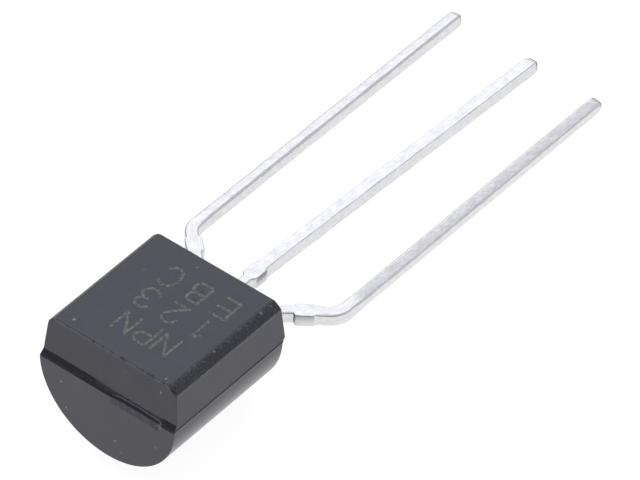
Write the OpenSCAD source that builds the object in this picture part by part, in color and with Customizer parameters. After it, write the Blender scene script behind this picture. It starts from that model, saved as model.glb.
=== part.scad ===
// Small npn transistor: a moulded three-lead case with a flat face and a round back,
// its stamped and formed leads, and the bonded chip inside. Lengths are in mm.
//
// Case axes: X across the leads, Y along them and away from the case, Z out of the
// flat face. Z = 0 is the parting plane of the mould and the upper face of the lead
// frame. The finished part lies on its round back and its longest lead tip.

/* [Case] */
// Width of the case at the parting plane, which is also twice the radius of the back
case_w = 4.6; // [4.4:0.05:4.8]
// Height of the case, along the leads
case_h = 4.5; // [4.3:0.05:4.8]
// Distance from the parting plane to the flat face
flat_rise = 1.32; // [1.2:0.02:1.5]
// Bevel along both long edges of the flat face
bevel = 0.19; // [0.1:0.01:0.3]
// Draft of the flat-side half of the case, in degrees
draft_flat = 5; // [2:0.5:7]
// Draft of both ends of the round half, in degrees
draft_round = 1; // [0.5:0.5:3]
// Shift of the round half away from the leads, and the depth of the sloped step it leaves
mould_shift = 0.125; // [0.06:0.005:0.18]

/* [Lead section] */
// Width of a formed lead
lead_w = 0.38; // [0.34:0.01:0.44]
// Thickness of the lead frame
lead_t = 0.38; // [0.34:0.01:0.44]
// Width of the neck between the case and the cut tie bar
neck_w = 0.31; // [0.27:0.01:0.34]
// Width over the two cut stubs of the tie bar
tie_w = 0.47; // [0.46:0.01:0.56]
// Length of a stub along the lead
tie_len = 0.55; // [0.45:0.01:0.65]
// Path from the case to the stub
tie_at = 1.33; // [1.25:0.01:1.45]
// Corner cut at a lead tip
tip_cut = 0.07; // [0.03:0.01:0.1]

/* [Lead forming] */
// Distance between neighbouring leads where they leave the case
pitch_in = 1.27; // [1.22:0.01:1.32]
// Distance of the formed collector lead from the middle of the case
pitch_c = 2.41; // [2.35:0.01:2.6]
// Distance of the formed emitter lead from the middle of the case
pitch_e = 2.71; // [2.54:0.01:2.8]
// Angle of the outward leg of the collector lead from the lead direction
kink_c = 49; // [45:1:52]
// Angle of the outward leg of the emitter lead from the lead direction
kink_e = 54; // [50:1:57]
// Middle-line radius of the first bend, beside the case
bend_in = 0.9; // [0.75:0.05:1]
// Middle-line radius of the second bend
bend_out = 0.6; // [0.45:0.05:0.7]
// Length of the base lead beyond the case
reach = 13.15; // [12.7:0.05:14.5]
// Slant of the line through the three cut tips, in degrees
tip_slant = 3.5; // [0:0.5:5]
// Sideways lean of the long runs of both outer leads, in degrees
lean_out = 0.5; // [0:0.1:1]
// Sideways lean of the base lead beyond its stub, in degrees
lean_b = 2.4; // [0:0.2:3]
// Twist of the long run of the collector lead, in degrees
twist_c = -7; // [-9:1:0]
// Twist of the long run of the base lead, in degrees
twist_b = -4; // [-8:1:0]
// Twist of the long run of the emitter lead, in degrees
twist_e = 8; // [0:1:9]

/* [Inside] */
// Width of the chip pad
pad_w = 1.7; // [1.5:0.05:1.8]
// Height of the chip pad, along the leads
pad_h = 1.35; // [1.2:0.05:1.5]
// Clear gap between the pieces of the lead frame inside the case
frame_gap = 0.3; // [0.25:0.01:0.4]
// Side of the square chip
die_side = 0.42; // [0.35:0.01:0.5]
// Thickness of the chip
die_t = 0.2; // [0.15:0.01:0.25]
// Thickness of the adhesive under the chip
attach_t = 0.03; // [0.02:0.005:0.05]
// Diameter of a bond wire
wire_d = 0.05; // [0.04:0.005:0.06]
// Rise of the wire loops above the chip
loop_rise = 0.22; // [0.18:0.01:0.3]

/* [Hidden] */
case_r = case_w / 2;
end_y = case_h / 2;                    // end of the flat-side half, at the step
low_y = end_y - mould_shift;           // lead end of the round half
step_top = 0.8 * mould_shift;          // the sloped step, above the parting plane
step_low = -0.2 * mould_shift;         // and below it
wide = 20;                             // longer than the case, for the crossing profiles
inner_w = 0.5;                         // width of the frame strips inside the case
ease = 0.35;                           // length over which a lead takes up its twist
lap = 0.05;                            // overlap of the parts that make up one lead
fine = 96;                             // facets of the round back
bend_steps = 10;                       // facets of a lead bend
ramp = 0.02;                           // slope of a sheared shoulder
wire_steps = 14;                       // bends of a wire loop

// Path along an outer lead: the first bend starts here, so that the stub follows it
tie_clear = 0.1;
function bend_y(k) = low_y + tie_at - tie_clear - bend_in * k * PI / 180;
// end of the first bend, as [x, y]
function leg_a(k) = [pitch_in + bend_in * (1 - cos(k)), bend_y(k) + bend_in * sin(k)];
// length of the outward leg that brings the lead to its pitch
function leg_len(k, pitch) = (pitch - bend_out * (1 - cos(k)) - leg_a(k)[0]) / sin(k);
// start of the second bend and Y of its end, where the long run starts
function leg_b(k, pitch) = leg_a(k) + leg_len(k, pitch) * [sin(k), cos(k)];
function run_y(k, pitch) = leg_b(k, pitch)[1] + bend_out * sin(k);
// Y of a tip cut on the slanted line, for a lead at x
function tip_y(x) = end_y + reach - tan(tip_slant) * x;

base_run_y = low_y + tie_at + tie_len + ramp;
base_len = (tip_y(0) - base_run_y) / cos(lean_b);
emitter_len = (tip_y(pitch_e) - run_y(kink_e, pitch_e)) / cos(lean_out);
collector_len = (tip_y(-pitch_c) - run_y(kink_c, pitch_c)) / cos(lean_out);

// Reach of a lead tip from its middle line up or down, for a run with this twist
function tip_half(tw) = lead_t / 2 * cos(tw) + (lead_w / 2 - tip_cut) * sin(abs(tw));
// Tilt that lays the back edge and that tip on one level
rest_y = low_y - (case_r + step_low) * tan(draft_round);
function rest_tilt(y, tw) = atan2(case_r - lead_t / 2 - tip_half(tw), y - rest_y);
tilt = min(
    rest_tilt(tip_y(-pitch_c), twist_c),
    rest_tilt(tip_y(0), twist_b),
    rest_tilt(tip_y(pitch_e), twist_e)
);

// Extents of the tilted part, to centre it over the origin
function run_half(tw) = (lead_w / 2 * cos(tw) + lead_t / 2 * sin(abs(tw))) * cos(lean_out);
far_x = pitch_e + (emitter_len - tip_cut) * sin(lean_out) + run_half(twist_e);
near_x = (ease - lap / 4) * sin(lean_out) - pitch_c - run_half(twist_c);
far_y = tip_y(-pitch_c) * cos(tilt) + (tip_half(twist_c) - lead_t / 2) * sin(tilt);
near_y = -(end_y + mould_shift - (case_r + step_low) * tan(draft_round)) * cos(tilt)
    - case_r * sin(tilt);
low_z = -rest_y * sin(tilt) - case_r * cos(tilt);

// Lead frame inside the case
lug = 0.1;                             // how far a post stands out past its strip
post_h = 0.6;                          // length of the wide end of a post
neck_y = low_y - 0.55;                 // where a strip narrows to its neck
pad_x = pitch_in + inner_w / 2 - pad_w / 2;       // middle of the pad, toward -X
pad_y = 0.2 - pad_h / 2;                          // middle of the pad along Y
base_y = pad_y + pad_h / 2 + frame_gap;           // inner end of the base post
emitter_y = base_y - post_h;                      // inner end of the emitter post
die_x = 0.1 - pad_x;
die_y = pad_y + 0.05;
die_top = attach_t + die_t;

case_black = [0.16, 0.16, 0.17];
tin = [0.85, 0.86, 0.88];

// Lays the part down at rest over the origin
module at_rest() {
    translate([-(far_x + near_x) / 2, -(far_y + near_y) / 2, -low_z])
        rotate([-tilt, 0, 0])
            children();
}

// Section of the case across the leads: round back, drafted sides, bevelled flat face
module case_section() {
    side_x = function(z) case_r - z * tan(draft_flat);
    top_x = side_x(flat_rise) - bevel;
    low_x = side_x(flat_rise - bevel);
    intersection() {
        circle(r = case_r, $fn = fine);
        translate([-case_r - 1, -case_r - 1]) square([2 * case_r + 2, case_r + 1]);
    }
    polygon([
        [-case_r, 0], [case_r, 0],
        [low_x, flat_rise - bevel], [top_x, flat_rise],
        [-top_x, flat_rise], [-low_x, flat_rise - bevel]
    ]);
}

// Side view of the case, [y, z]: two drafted halves with the sloped step between them
module case_profile() {
    in_flat = (flat_rise - step_top) * tan(draft_flat);
    in_round = (case_r + 1 + step_low) * tan(draft_round);
    deep = -case_r - 1;
    polygon([
        [-end_y + in_flat, flat_rise], [-end_y, step_top],
        [-end_y - mould_shift, step_low], [-end_y - mould_shift + in_round, deep],
        [low_y - in_round, deep], [low_y, step_low],
        [end_y, step_top], [end_y - in_flat, flat_rise]
    ]);
}

module case_solid() {
    intersection() {
        rotate([90, 0, 0]) linear_extrude(wide, center = true) case_section();
        rotate([90, 0, 90]) linear_extrude(wide, center = true) case_profile();
    }
}

// Outline of a strip that follows stations [x, y, heading, width], heading 0 along +Y
function side_points(st, s) = [
    for (p = st) [p[0] + s * p[3] / 2 * cos(p[2]), p[1] - s * p[3] / 2 * sin(p[2])]
];
function reversed(v) = [for (i = [len(v) - 1:-1:0]) v[i]];
module strip(st) {
    polygon(concat(side_points(st, 1), reversed(side_points(st, -1))));
}

// Stations of an outer lead from inside the case to the start of its long run
function outer_stations(k, pitch, y0) = let (
    a = leg_a(k), b = leg_b(k, pitch), d = [sin(k), cos(k)],
    s0 = a + tie_clear * d, s1 = s0 + tie_len * d, y1 = bend_y(k), y2 = run_y(k, pitch)
) concat(
    [[pitch_in, y0, 0, neck_w]],
    [for (i = [0:bend_steps]) let (h = k * i / bend_steps)
        [pitch_in + bend_in * (1 - cos(h)), y1 + bend_in * sin(h), h, neck_w]],
    [[s0[0], s0[1], k, neck_w]],
    [[s0[0] + ramp * d[0], s0[1] + ramp * d[1], k, tie_w], [s1[0], s1[1], k, tie_w]],
    [[s1[0] + ramp * d[0], s1[1] + ramp * d[1], k, lead_w]],
    [for (i = [0:bend_steps]) let (h = k * (1 - i / bend_steps))
        [pitch - bend_out * (1 - cos(h)), y2 - bend_out * sin(h), h, lead_w]],
    [[pitch, y2 + lap, 0, lead_w]]
);

// Long straight run of a lead from the origin along +Y, twisted about its own middle line
module long_run(length, tw) {
    tuck = 0.003;
    translate([0, 0, -lead_t / 2]) {
        hull()
            for (e = [[0, 0], [ease, tw]])
                translate([0, e[0], 0]) rotate([0, e[1], 0])
                    cube([lead_w - 2 * tuck, lap, lead_t - 2 * tuck], center = true);
        rotate([0, tw, 0])
            translate([0, 0, -lead_t / 2])
                linear_extrude(lead_t)
                    polygon([
                        [-lead_w / 2, ease - lap / 4], [lead_w / 2, ease - lap / 4],
                        [lead_w / 2, length - tip_cut], [lead_w / 2 - tip_cut, length],
                        [tip_cut - lead_w / 2, length], [-lead_w / 2, length - tip_cut]
                    ]);
    }
}

// Plate of the lead frame: the outline given as children, below the parting plane
module plate() {
    translate([0, 0, -lead_t]) linear_extrude(lead_t) children();
}

// Strip inside the case, centred on x, from y0 to the neck
module inner_strip(x, y0) {
    translate([x - inner_w / 2, y0]) square([inner_w, neck_y + lap - y0]);
}

module emitter_shape() {
    plate() {
        strip(outer_stations(kink_e, pitch_e, neck_y));
        inner_strip(pitch_in, emitter_y);
        translate([pitch_in - inner_w / 2 - lug, emitter_y]) square([inner_w + 2 * lug, post_h]);
    }
    translate([pitch_e, run_y(kink_e, pitch_e), 0])
        rotate([0, 0, -lean_out]) long_run(emitter_len, twist_e);
}

module base_shape() {
    y_tie = low_y + tie_at;
    plate() {
        strip([
            [0, neck_y, 0, neck_w], [0, y_tie, 0, neck_w],
            [0, y_tie + ramp, 0, tie_w], [0, y_tie + tie_len, 0, tie_w],
            [0, base_run_y, lean_b / 2, lead_w],
            [lap * sin(lean_b), base_run_y + lap * cos(lean_b), lean_b, lead_w]
        ]);
        inner_strip(0, base_y);
        translate([-inner_w / 2 - lug, base_y]) square([inner_w + 2 * lug, post_h]);
    }
    translate([0, base_run_y, 0]) rotate([0, 0, -lean_b]) long_run(base_len, twist_b);
}

module collector_shape() {
    plate() {
        mirror([1, 0]) strip(outer_stations(kink_c, pitch_c, neck_y));
        inner_strip(-pitch_in, pad_y);
        translate([-pad_x - pad_w / 2, pad_y - pad_h / 2]) square([pad_w, pad_h]);
    }
    translate([-pitch_c, run_y(kink_c, pitch_c), 0])
        rotate([0, 0, -lean_out]) long_run(collector_len, twist_c);
}

module attach_shape() {
    side = die_side + 0.06;
    translate([die_x - side / 2, die_y - side / 2, 0]) cube([side, side, attach_t]);
}

module die_shape() {
    translate([die_x - die_side / 2, die_y - die_side / 2, attach_t])
        cube([die_side, die_side, die_t]);
}

// Bond wire from a ball on the chip to a stitch that lies flat on a post.
// a: [x, y] on the chip, b: [x, y] on the post
module bond_wire(a, b) {
    span = norm(b - a);
    r = wire_d / 2;
    flat = r * cos(22.5);                 // half height of the eight-sided wire
    ball_h = 0.6 * wire_d;
    foot = die_top + ball_h / 2;
    peak = die_top + loop_rise;
    run = function(u) 0.88 * span * pow(u, 1.25);
    rise = function(u) u < 0.25
        ? foot + (peak - foot) * sin(360 * u)
        : flat + (peak - flat) * (1 + cos(240 * (u - 0.25))) / 2;
    mid = concat([for (i = [0:wire_steps]) [run(i / wire_steps), rise(i / wire_steps)]], [[span, flat]]);
    last = len(mid) - 1;
    dir = [for (i = [0:last]) i == 0 ? 90 : i >= last - 1 ? 0
        : atan2(mid[i + 1][1] - mid[i - 1][1], mid[i + 1][0] - mid[i - 1][0])];
    translate([a[0], a[1], 0]) rotate([0, 0, atan2(b[1] - a[1], b[0] - a[0])]) {
        polyhedron(
            points = [for (i = [0:last]) for (k = [0:7]) let (t = 45 * k + 22.5) [
                mid[i][0] - r * cos(t) * sin(dir[i]), r * sin(t), mid[i][1] + r * cos(t) * cos(dir[i])
            ]],
            faces = concat(
                [[for (k = [7:-1:0]) k], [for (k = [0:7]) 8 * last + k]],
                [for (i = [0:last - 1]) for (k = [0:7]) let (j = (k + 1) % 8)
                    [8 * i + j, 8 * (i + 1) + j, 8 * (i + 1) + k, 8 * i + k]]
            )
        );
        translate([0, 0, die_top]) cylinder(r = 1.1 * wire_d, h = ball_h, $fn = 8);
    }
}

module base_wire_shape() {
    bond_wire([die_x + 0.1, die_y + 0.1], [0, base_y + post_h / 2]);
}

module emitter_wire_shape() {
    bond_wire([die_x + 0.1, die_y - 0.08], [pitch_in - lug, emitter_y + post_h / 2]);
}

module body() {
    color(case_black) at_rest() difference() {
        case_solid();
        emitter_shape();
        base_shape();
        collector_shape();
        attach_shape();
        die_shape();
        base_wire_shape();
        emitter_wire_shape();
    }
}
module emitter_lead() { color(tin) at_rest() emitter_shape(); }
module base_lead() { color(tin) at_rest() base_shape(); }
module collector_lead() { color(tin) at_rest() collector_shape(); }
module die_attach() { color([0.7, 0.7, 0.72]) at_rest() attach_shape(); }
module die() { color([0.3, 0.32, 0.38]) at_rest() die_shape(); }
module base_wire() { color([0.9, 0.75, 0.35]) at_rest() base_wire_shape(); }
module emitter_wire() { color([0.9, 0.75, 0.35]) at_rest() emitter_wire_shape(); }

body();
emitter_lead();
base_lead();
collector_lead();
die_attach();
die();
base_wire();
emitter_wire();
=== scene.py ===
"""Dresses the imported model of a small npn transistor.

A moulded epoxy case with a flat face and a round back holds three stamped, tin-plated and
formed leads; the chip, its adhesive and its two bond wires lie inside. Shapes are laid out in
case axes and millimetres, as a maker's drawing gives them, and CaseAxes puts them in the
frame, in metres.
"""

import logging
import math
from collections.abc import Callable, Iterable, Sequence
from dataclasses import dataclass
from enum import Enum
from typing import Any

import bmesh
import bpy
import numpy as np
from mathutils import Matrix, Vector, geometry, noise


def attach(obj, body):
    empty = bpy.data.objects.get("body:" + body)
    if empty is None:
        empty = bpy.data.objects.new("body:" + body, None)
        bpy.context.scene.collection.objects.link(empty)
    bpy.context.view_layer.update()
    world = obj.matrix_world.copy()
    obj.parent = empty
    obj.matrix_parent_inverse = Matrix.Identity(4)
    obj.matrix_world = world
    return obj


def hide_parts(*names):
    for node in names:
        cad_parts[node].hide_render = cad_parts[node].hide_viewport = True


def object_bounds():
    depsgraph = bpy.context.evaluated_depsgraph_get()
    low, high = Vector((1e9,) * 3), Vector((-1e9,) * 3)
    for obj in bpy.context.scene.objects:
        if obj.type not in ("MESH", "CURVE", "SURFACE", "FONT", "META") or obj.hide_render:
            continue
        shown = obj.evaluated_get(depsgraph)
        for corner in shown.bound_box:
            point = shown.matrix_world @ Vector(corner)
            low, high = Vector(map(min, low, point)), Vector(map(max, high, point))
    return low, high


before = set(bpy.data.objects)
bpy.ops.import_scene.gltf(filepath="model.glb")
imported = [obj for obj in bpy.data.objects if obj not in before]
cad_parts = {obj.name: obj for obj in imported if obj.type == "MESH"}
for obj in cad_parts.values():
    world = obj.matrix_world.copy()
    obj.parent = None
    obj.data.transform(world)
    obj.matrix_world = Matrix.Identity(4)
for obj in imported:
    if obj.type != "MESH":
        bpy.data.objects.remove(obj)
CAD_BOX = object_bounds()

Tree, Socket, Material = bpy.types.NodeTree, bpy.types.NodeSocket, bpy.types.Material
Object, Mesh = bpy.types.Object, bpy.types.Mesh

LOG = logging.getLogger("npn_transistor")
BODY = "root"
NOISE = (0.3, 0.7)  # values that a noise texture mostly stays between


# ---------------------------------------------------------------- placing and shared helpers


@dataclass(frozen=True)
class CaseAxes:
    """Axes of the case: X across the leads, Y along them, Z out of the flat face.

    The case lies on its round back and on the tip of one lead, so its axes are tilted.
    """

    tilt: float = math.radians(8.06182)
    offset: tuple[float, float, float] = (-0.20023, -6.38042, 2.56971)

    def matrix(self) -> Matrix:
        """Returns the matrix from case axes in millimetres to the frame in metres."""
        place = Matrix.Translation(self.offset) @ Matrix.Rotation(-self.tilt, 4, "X")
        return Matrix.Scale(0.001, 4) @ place


AXES = CaseAxes()


def add_node(
    tree: Tree, kind: str, inputs: dict[Any, Any] | None = None, **settings: Any
) -> bpy.types.Node:
    """Adds a node with its settings and links.

    Args:
        tree: The node tree that gets the node.
        kind: The node's type name.
        inputs: Values, or the sockets that feed them, by input name or number.
        **settings: Attributes of the node itself.

    Returns:
        The new node.
    """
    node = tree.nodes.new(kind)
    for key, value in settings.items():
        setattr(node, key, value)
    for key, value in (inputs or {}).items():
        if isinstance(value, Socket):
            tree.links.new(value, node.inputs[key])
        else:
            node.inputs[key].default_value = value
    return node


def linear(hex_colour: str) -> tuple[float, float, float, float]:
    """Turns an sRGB hex colour into linear RGBA.

    Args:
        hex_colour: Colour such as "#2a2b2f".

    Returns:
        Linear red, green, blue and an alpha of one.
    """
    parts = [int(hex_colour[i : i + 2], 16) / 255 for i in (1, 3, 5)]
    low = [v / 12.92 if v <= 0.04045 else ((v + 0.055) / 1.055) ** 2.4 for v in parts]
    return (*low, 1.0)


def mesh_object(name: str, points: Any, faces: Any, edges: Any = ()) -> Object:
    """Makes an object from points and faces.

    Args:
        name: Name of the object and its mesh.
        points: Vertex places.
        faces: Vertex numbers of each face.
        edges: Vertex numbers of each loose edge.

    Returns:
        The object, linked to the scene.
    """
    mesh = bpy.data.meshes.new(name)
    mesh.from_pydata([tuple(p) for p in points], [tuple(e) for e in edges], [tuple(f) for f in faces])
    mesh.validate()
    thing = bpy.data.objects.new(name, mesh)
    bpy.context.scene.collection.objects.link(thing)
    return thing


def bake_modifiers(thing: Object) -> None:
    """Replaces an object's mesh by its evaluated form and drops its modifiers.

    Args:
        thing: The object with modifiers.
    """
    graph = bpy.context.evaluated_depsgraph_get()
    made = bpy.data.meshes.new_from_object(thing.evaluated_get(graph))
    old = thing.data
    thing.modifiers.clear()
    thing.data = made
    bpy.data.meshes.remove(old)
    made.name = thing.name


def shade(mesh: Mesh, sharp_angle: float = 32) -> None:
    """Shades a closed mesh smooth, with sharp edges at corners and where finishes meet.

    Args:
        mesh: The mesh, whose normals are also turned outwards.
        sharp_angle: Degrees between faces from which their edge is sharp.
    """
    shape = bmesh.new()
    shape.from_mesh(mesh)
    bmesh.ops.recalc_face_normals(shape, faces=shape.faces)
    limit = math.radians(sharp_angle)
    for face in shape.faces:
        face.smooth = True
    for edge in shape.edges:
        pair = edge.link_faces
        meets = len(pair) == 2 and pair[0].material_index == pair[1].material_index
        edge.smooth = meets and edge.calc_face_angle(0) < limit
    shape.to_mesh(mesh)
    shape.free()


def settle(thing: Object, slot: str, *nodes: str) -> None:
    """Puts a finished piece in the frame, under the body, and hides the CAD nodes that it replaces.

    Args:
        thing: The piece, with its mesh in the frame.
        slot: Not used.
        *nodes: CAD nodes that it replaces.
    """
    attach(thing, BODY)
    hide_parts(*nodes)
    LOG.info("%s: %d faces", thing.name, len(thing.data.polygons))


# ---------------------------------------------------------------- finishes


@dataclass(frozen=True)
class Finish:
    """A surface as it is made: the real material's name, colour, roughness and grain."""

    name: str
    colour: str
    roughness: float

    def material(self) -> Material:
        """Builds the finish's material the first time that it is asked for.

        Returns:
            The material.
        """
        made = bpy.data.materials.get(self.name)
        if made is None:
            made = bpy.data.materials.new(self.name)
            made.use_nodes = True
            tree = made.node_tree
            tree.nodes.clear()
            spot = add_node(tree, "ShaderNodeTexCoord").outputs["Object"]
            place, turn, scale = AXES.matrix().inverted().decompose()
            case_mm = add_node(
                tree, "ShaderNodeMapping",
                {"Vector": spot, "Location": place, "Rotation": turn.to_euler(), "Scale": scale},
            ).outputs[0]
            shader = self.dress(tree, case_mm)
            add_node(tree, "ShaderNodeOutputMaterial", {"Surface": shader})
        return made

    def dress(self, tree: Tree, case_mm: Socket) -> Socket:
        """Adds the finish's own nodes.

        Args:
            tree: The material's tree.
            case_mm: Place on the part in case axes, in millimetres.

        Returns:
            The shader socket.
        """
        raise NotImplementedError

    def mottle(
        self, tree: Tree, at: Socket, size_mm: float, low: float, high: float, detail: float = 3
    ) -> Socket:
        """Adds a noise that runs between two values.

        Args:
            tree: The material's tree.
            at: Place in millimetres.
            size_mm: Size of its patches.
            low: Value in the dark of the noise.
            high: Value in its light.
            detail: Octaves of finer noise.

        Returns:
            The value's socket.
        """
        grain = add_node(
            tree, "ShaderNodeTexNoise", {"Vector": at, "Scale": 1 / size_mm, "Detail": detail}
        ).outputs[0]
        return add_node(
            tree, "ShaderNodeMapRange",
            {
                "Value": grain, "From Min": NOISE[0], "From Max": NOISE[1],
                "To Min": low, "To Max": high,
            },
        ).outputs[0]


@dataclass(frozen=True)
class MouldedEpoxy(Finish):
    """Silica-filled epoxy, transfer moulded in a spark-eroded tool: a satin near-black.

    Two attributes of the mesh steer it, from 0 to 1: "wear" on edges that handling rubs, and
    "torn": a painted highlight along the ledge's land, and paler torn resin at its corner.
    """

    filler: str = "#222329"
    fleck: str = "#a19f9b"
    sheen: str = "#ebebfd"
    # Paler resin, used on rubbed edges, on torn resin and as a painted highlight on the ledge's land.
    torn: str = "#77777a"
    refraction: float = 1.62
    rubbed_rough: float = 0.22  # what full wear adds to roughness, paleness and relief
    rubbed_pale: float = 0.24
    rubbed_grain: float = 60.0
    smudge_mm: float = 0.12
    cloud_mm: float = 0.8
    grit_mm: float = 0.05
    broken_mm: float = 0.06
    grit_height: float = 2e-6
    fleck_mm: float = 0.046
    fleck_cell_mm: float = 0.17
    fleck_seed: tuple[float, float, float] = (7.3, 2.1, 4.6)
    fleck_wear: tuple[float, float] = (0.46, 0.9)
    fleck_bar: tuple[float, float] = (0.985, 0.4)
    fleck_faint: float = 0.25  # strength of the faintest
    warp_mm: float = 1 / 14  # size and reach of the bends in the flecks' outlines
    warp_reach: float = 0.09

    def dress(self, tree: Tree, case_mm: Socket) -> Socket:
        """Adds resin clouds, torn resin, a painted ledge highlight, pale filler flecks, tool grain and
        rubbed edges.

        Args:
            tree: The material's tree.
            case_mm: Place on the part in case axes, in millimetres.

        Returns:
            The shader socket.
        """
        wear = add_node(tree, "ShaderNodeAttribute", attribute_name="wear").outputs["Fac"]
        colour = self._skin(tree, case_mm, wear)
        flecked = self._flecks(tree, case_mm, wear)
        colour = add_node(
            tree, "ShaderNodeMix", {0: flecked, 6: colour, 7: linear(self.fleck)}, data_type="RGBA"
        ).outputs[2]
        least, most = self.roughness - 0.03, self.roughness + 0.04
        rough = self.mottle(tree, case_mm, self.smudge_mm, least, most)
        rubbed = add_node(
            tree, "ShaderNodeMath", {0: wear, 1: self.rubbed_rough, 2: rough},
            operation="MULTIPLY_ADD",
        ).outputs[0]
        return add_node(
            tree, "ShaderNodeBsdfPrincipled",
            {
                "Base Color": colour, "Roughness": rubbed, "IOR": self.refraction,
                "Specular Tint": linear(self.sheen), "Normal": self._relief(tree, case_mm, wear),
            },
        ).outputs[0]

    def _skin(self, tree: Tree, case_mm: Socket, wear: Socket) -> Socket:
        """Adds the resin's colour: filler clouds under the skin, paler torn resin and a painted ledge
        highlight.

        Args:
            tree: The material's tree.
            case_mm: Place on the part in case axes, in millimetres.
            wear: How rubbed the spot is.

        Returns:
            The colour's socket.
        """
        cloud = self.mottle(tree, case_mm, self.cloud_mm, 0.0, 1.0)
        resin = add_node(
            tree, "ShaderNodeMix", {0: cloud, 6: linear(self.colour), 7: linear(self.filler)},
            data_type="RGBA",
        ).outputs[2]
        # The torn attribute paints a highlight along the ledge's land, and torn resin at its corner.
        torn = add_node(tree, "ShaderNodeAttribute", attribute_name="torn").outputs["Fac"]
        torn = add_node(
            tree, "ShaderNodeMath", {0: wear, 1: self.rubbed_pale, 2: torn},
            operation="MULTIPLY_ADD",
        ).outputs[0]
        ragged = self.mottle(tree, case_mm, self.broken_mm, -1.0, 1.6, 4)
        torn = add_node(tree, "ShaderNodeMath", {0: torn, 1: ragged}, operation="MULTIPLY").outputs[0]
        return add_node(
            tree, "ShaderNodeMix", {0: torn, 6: resin, 7: linear(self.torn)}, data_type="RGBA"
        ).outputs[2]

    def _flecks(self, tree: Tree, case_mm: Socket, wear: Socket) -> Socket:
        """Adds filler flecks of uneven strength, few on the skin and many on rubbed edges.

        Args:
            tree: The material's tree.
            case_mm: Place on the part in case axes, in millimetres.
            wear: How rubbed the spot is.

        Returns:
            The socket of the flecks' share, 0 to 1.
        """
        warp = add_node(
            tree, "ShaderNodeTexNoise", {"Vector": case_mm, "Scale": 1 / self.warp_mm, "Detail": 2}
        ).outputs["Color"]
        uneven = add_node(
            tree, "ShaderNodeVectorMath", {0: warp, 1: (self.warp_reach,) * 3, 2: case_mm},
            operation="MULTIPLY_ADD",
        ).outputs[0]
        spread = add_node(
            tree, "ShaderNodeVectorMath", {0: uneven, 1: self.fleck_seed}, operation="ADD"
        ).outputs[0]
        cells = add_node(
            tree, "ShaderNodeTexVoronoi", {"Vector": spread, "Scale": 1 / self.fleck_cell_mm}
        ).outputs
        chance, strength, _ = add_node(tree, "ShaderNodeSeparateColor", {0: cells["Color"]}).outputs
        # A fleck shows where its chance passes a bar, which comes down as the edge is rubbed.
        bar = add_node(
            tree, "ShaderNodeMapRange",
            {
                "Value": wear, "From Min": self.fleck_wear[0], "From Max": self.fleck_wear[1],
                "To Min": self.fleck_bar[0], "To Max": self.fleck_bar[1],
            },
        ).outputs[0]
        picked = add_node(
            tree, "ShaderNodeMath", {0: chance, 1: bar}, operation="GREATER_THAN"
        ).outputs[0]
        size = self.fleck_mm / self.fleck_cell_mm
        dot = add_node(
            tree, "ShaderNodeMapRange",
            {"Value": cells["Distance"], "From Min": 1.2 * size, "From Max": 0.4 * size},
        ).outputs[0]
        faint = add_node(
            tree, "ShaderNodeMapRange", {"Value": strength, "To Min": self.fleck_faint}
        ).outputs[0]
        share = dot
        for factor in (picked, faint):
            share = add_node(
                tree, "ShaderNodeMath", {0: share, 1: factor}, operation="MULTIPLY"
            ).outputs[0]
        return share

    def _relief(self, tree: Tree, case_mm: Socket, wear: Socket) -> Socket:
        """Adds the skin's relief: the tool's grit, and grains lost from rubbed edges.

        Args:
            tree: The material's tree.
            case_mm: Place on the part in case axes, in millimetres.
            wear: How rubbed the spot is.

        Returns:
            The normal's socket.
        """
        # The eroded tool leaves pits of about 0.02 mm, drawn wider so that they still show.
        grit = add_node(
            tree, "ShaderNodeTexNoise", {"Vector": case_mm, "Scale": 1 / self.grit_mm, "Detail": 2}
        ).outputs[0]
        # Handling breaks small grains out of the edges, which leaves them rough.
        broken = add_node(
            tree, "ShaderNodeTexNoise", {"Vector": case_mm, "Scale": 1 / self.broken_mm, "Detail": 3}
        ).outputs[0]
        loss = add_node(
            tree, "ShaderNodeMath", {0: wear, 1: self.rubbed_grain}, operation="MULTIPLY"
        ).outputs[0]
        height = add_node(
            tree, "ShaderNodeMath", {0: broken, 1: loss, 2: grit}, operation="MULTIPLY_ADD"
        ).outputs[0]
        return add_node(
            tree, "ShaderNodeBump", {"Height": height, "Strength": 0.35, "Distance": self.grit_height}
        ).outputs[0]


@dataclass(frozen=True)
class LaserMark(Finish):
    """Epoxy burnt by a marking laser: its resin is gone and the pale, dull filler shows."""

    under: str = "#35363a"
    shot_mm: float = 0.07

    def dress(self, tree: Tree, case_mm: Socket) -> Socket:
        """Adds the patchy burn of single laser shots.

        Args:
            tree: The material's tree.
            case_mm: Place on the part in case axes, in millimetres.

        Returns:
            The shader socket.
        """
        shots = self.mottle(tree, case_mm, self.shot_mm, 0.1, 1.0, 3)
        colour = add_node(
            tree, "ShaderNodeMix", {0: shots, 6: linear(self.under), 7: linear(self.colour)},
            data_type="RGBA",
        ).outputs[2]
        return add_node(
            tree, "ShaderNodeBsdfPrincipled",
            {"Base Color": colour, "Roughness": self.roughness, "IOR": 1.5},
        ).outputs[0]


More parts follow.
